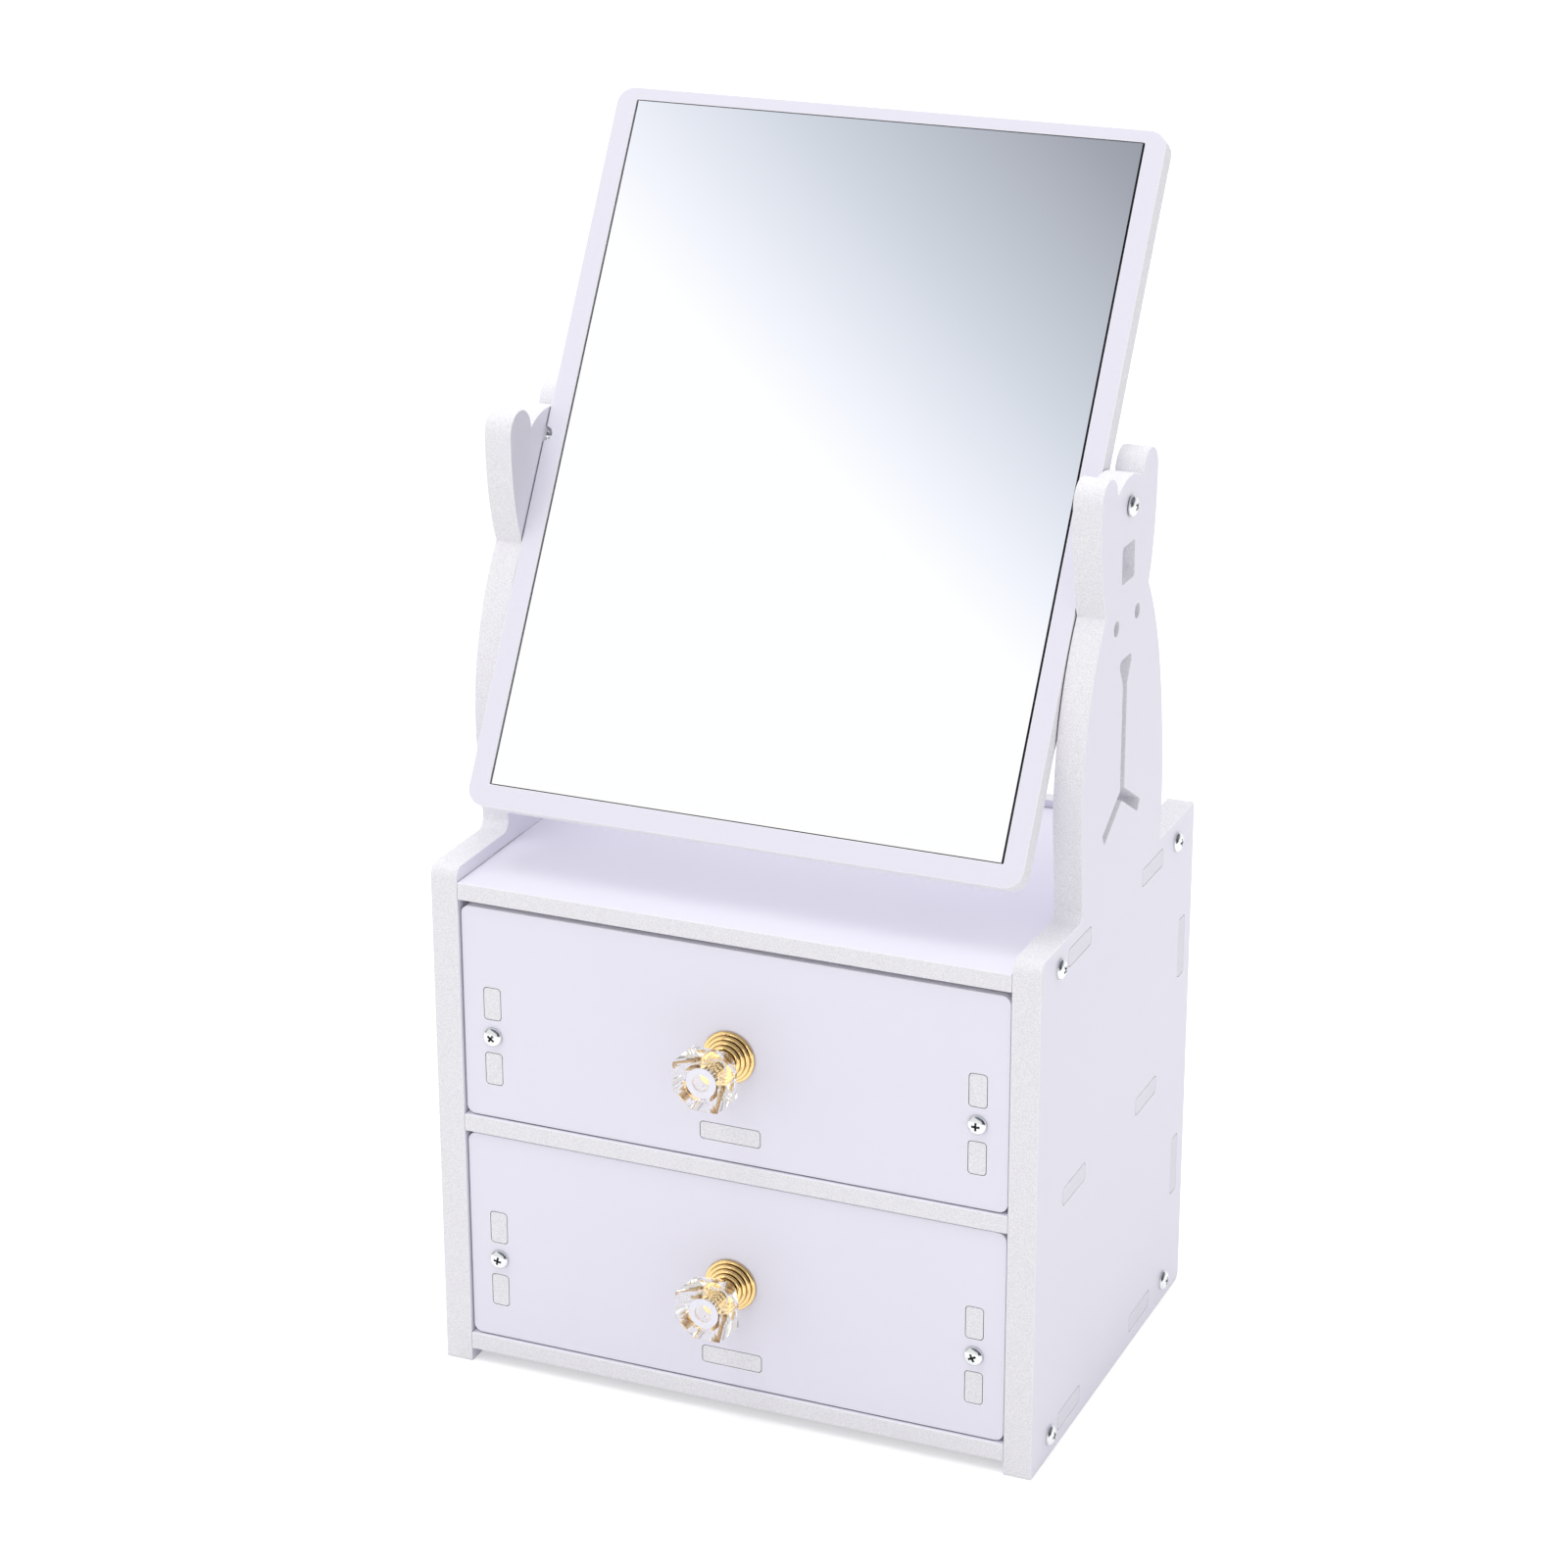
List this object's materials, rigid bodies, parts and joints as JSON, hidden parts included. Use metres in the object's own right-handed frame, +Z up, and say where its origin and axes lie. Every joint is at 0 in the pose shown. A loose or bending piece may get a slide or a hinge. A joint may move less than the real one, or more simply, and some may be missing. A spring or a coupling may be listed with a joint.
{
  "type": "makeup mirror with drawers",
  "caption": "White board stand with drawers on cut crystal knobs and a rectangular mirror that tilts between curved posts rising from its side panels.",
  "frame": {"origin": "on the table, under the middle of the overall box, knobs and screw heads included", "axes": "+X to the user's right, +Y from the drawer fronts to the back panel, +Z up"},
  "size_m": [0.18, 0.1434, 0.343],
  "materials": {
    "board": "matte",
    "mirror": "polished",
    "gold": "polished",
    "crystal": "polished",
    "steel": "zinc plated"
  },
  "bodies": {
    "stand": {"back_panel": "board", "bottom_panel": "board", "left_bottom_back_screw": "steel", "left_bottom_front_screw": "steel", "left_side_panel": "board", "left_top_back_screw": "steel", "left_top_front_screw": "steel", "middle_shelf": "board", "right_bottom_back_screw": "steel", "right_bottom_front_screw": "steel", "right_side_panel": "board", "right_top_back_screw": "steel", "right_top_front_screw": "steel", "top_shelf": "board"},
    "mirror": {"left_pivot_screw": "steel", "mirror_frame": "board", "mirror_glass": "mirror", "right_pivot_screw": "steel"},
    "upper_drawer": {"upper_back_left_screw": "steel", "upper_back_right_screw": "steel", "upper_drawer_back": "board", "upper_drawer_bottom": "board", "upper_drawer_front": "board", "upper_drawer_left_side": "board", "upper_drawer_right_side": "board", "upper_front_left_screw": "steel", "upper_front_right_screw": "steel", "upper_knob_base": "gold", "upper_knob_crystal": "crystal", "upper_knob_screw": "steel"},
    "lower_drawer": {"lower_back_left_screw": "steel", "lower_back_right_screw": "steel", "lower_drawer_back": "board", "lower_drawer_bottom": "board", "lower_drawer_front": "board", "lower_drawer_left_side": "board", "lower_drawer_right_side": "board", "lower_front_left_screw": "steel", "lower_front_right_screw": "steel", "lower_knob_base": "gold", "lower_knob_crystal": "crystal", "lower_knob_screw": "steel"}
  },
  "joints": [
    {"name": "mirror_tilt", "type": "hinge", "parent": "stand", "child": "mirror", "pos_m": [0, 0.00668, 0.25514], "axis": [1, 0, 0], "continuous": true},
    {"name": "upper_drawer_slide", "type": "slide", "parent": "stand", "child": "upper_drawer", "axis": [0, -1, 0], "range_m": [0, 0.085]},
    {"name": "lower_drawer_slide", "type": "slide", "parent": "stand", "child": "lower_drawer", "axis": [0, -1, 0], "range_m": [0, 0.085]}
  ]
}
